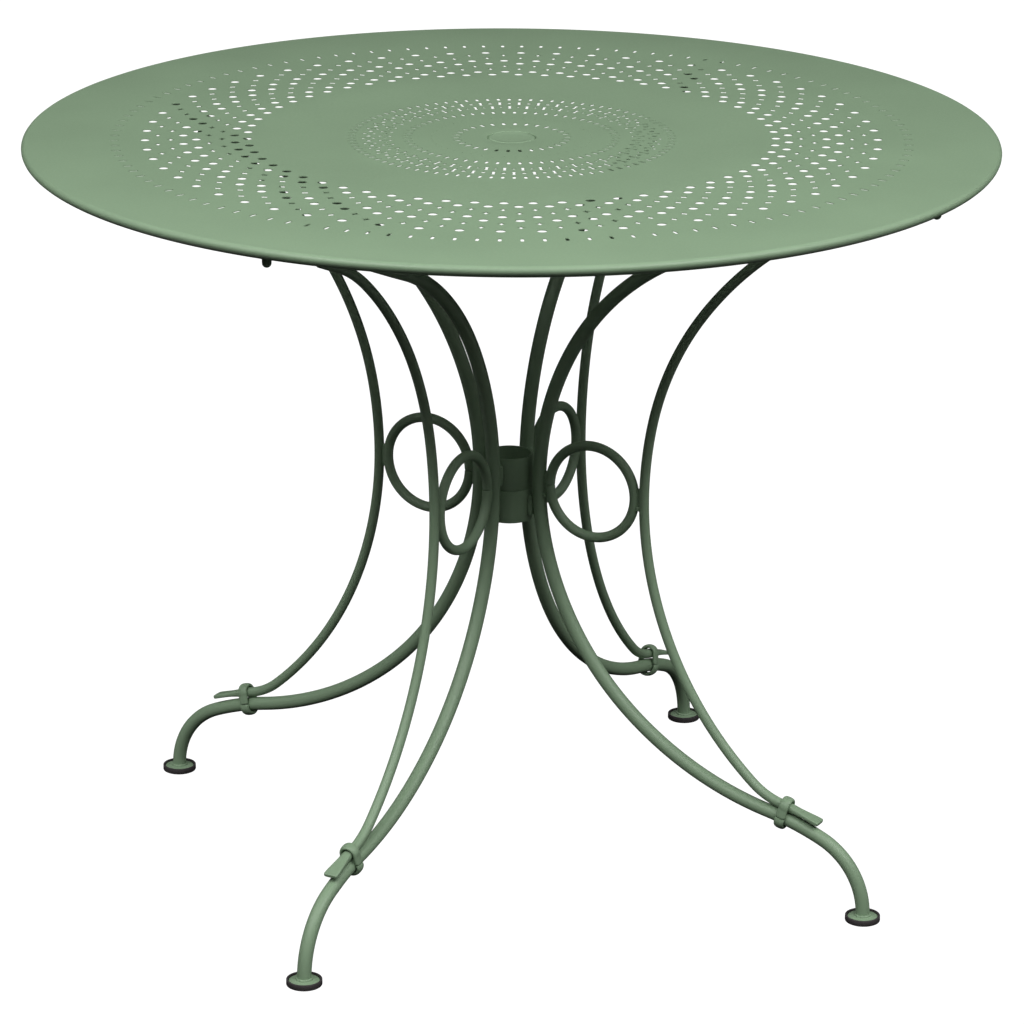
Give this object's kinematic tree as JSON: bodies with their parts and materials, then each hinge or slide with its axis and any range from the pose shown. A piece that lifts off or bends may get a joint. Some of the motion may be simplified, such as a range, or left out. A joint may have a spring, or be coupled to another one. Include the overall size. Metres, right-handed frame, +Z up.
{
  "type": "bistro table",
  "caption": "Round bistro table with a rolled-edge sheet top, a parasol hole closed by a lift-out cap, and curved rod legs tied together by scroll rings, collars and a sleeve hub.",
  "frame": {"origin": "on the floor, under the middle of the round top", "axes": "+Z up; leg 1 stands along +X, leg 2 along +Y, leg 3 along -X and leg 4 along -Y"},
  "size_m": [0.9506, 0.9506, 0.745],
  "materials": {
    "green_paint": "satin sage green powder coat on steel",
    "black_rubber": "matt black moulded glide"
  },
  "bodies": {
    "table": {"tabletop": "green_paint", "hub_sleeve_lower": "green_paint", "hub_sleeve_upper": "green_paint", "leg_rod_1": "green_paint", "leg_rod_2": "green_paint", "leg_rod_3": "green_paint", "leg_rod_4": "green_paint", "brace_rod_1": "green_paint", "brace_rod_2": "green_paint", "brace_rod_3": "green_paint", "brace_rod_4": "green_paint", "scroll_ring_1": "green_paint", "scroll_ring_2": "green_paint", "scroll_ring_3": "green_paint", "scroll_ring_4": "green_paint", "collar_1": "green_paint", "collar_2": "green_paint", "collar_3": "green_paint", "collar_4": "green_paint", "foot_disc_1": "green_paint", "foot_disc_2": "green_paint", "foot_disc_3": "green_paint", "foot_disc_4": "green_paint", "top_boss_1": "green_paint", "top_boss_2": "green_paint", "top_boss_3": "green_paint", "top_boss_4": "green_paint", "top_bolt_1": "green_paint", "top_bolt_2": "green_paint", "top_bolt_3": "green_paint", "top_bolt_4": "green_paint", "foot_glide_1": "black_rubber", "foot_glide_2": "black_rubber", "foot_glide_3": "black_rubber", "foot_glide_4": "black_rubber"},
    "plug": {"parasol_plug": "green_paint"}
  },
  "joints": [
    {"name": "plug_lift", "type": "slide", "parent": "table", "child": "plug", "axis": [0, 0, 1], "range_m": [0, 0.05]}
  ]
}
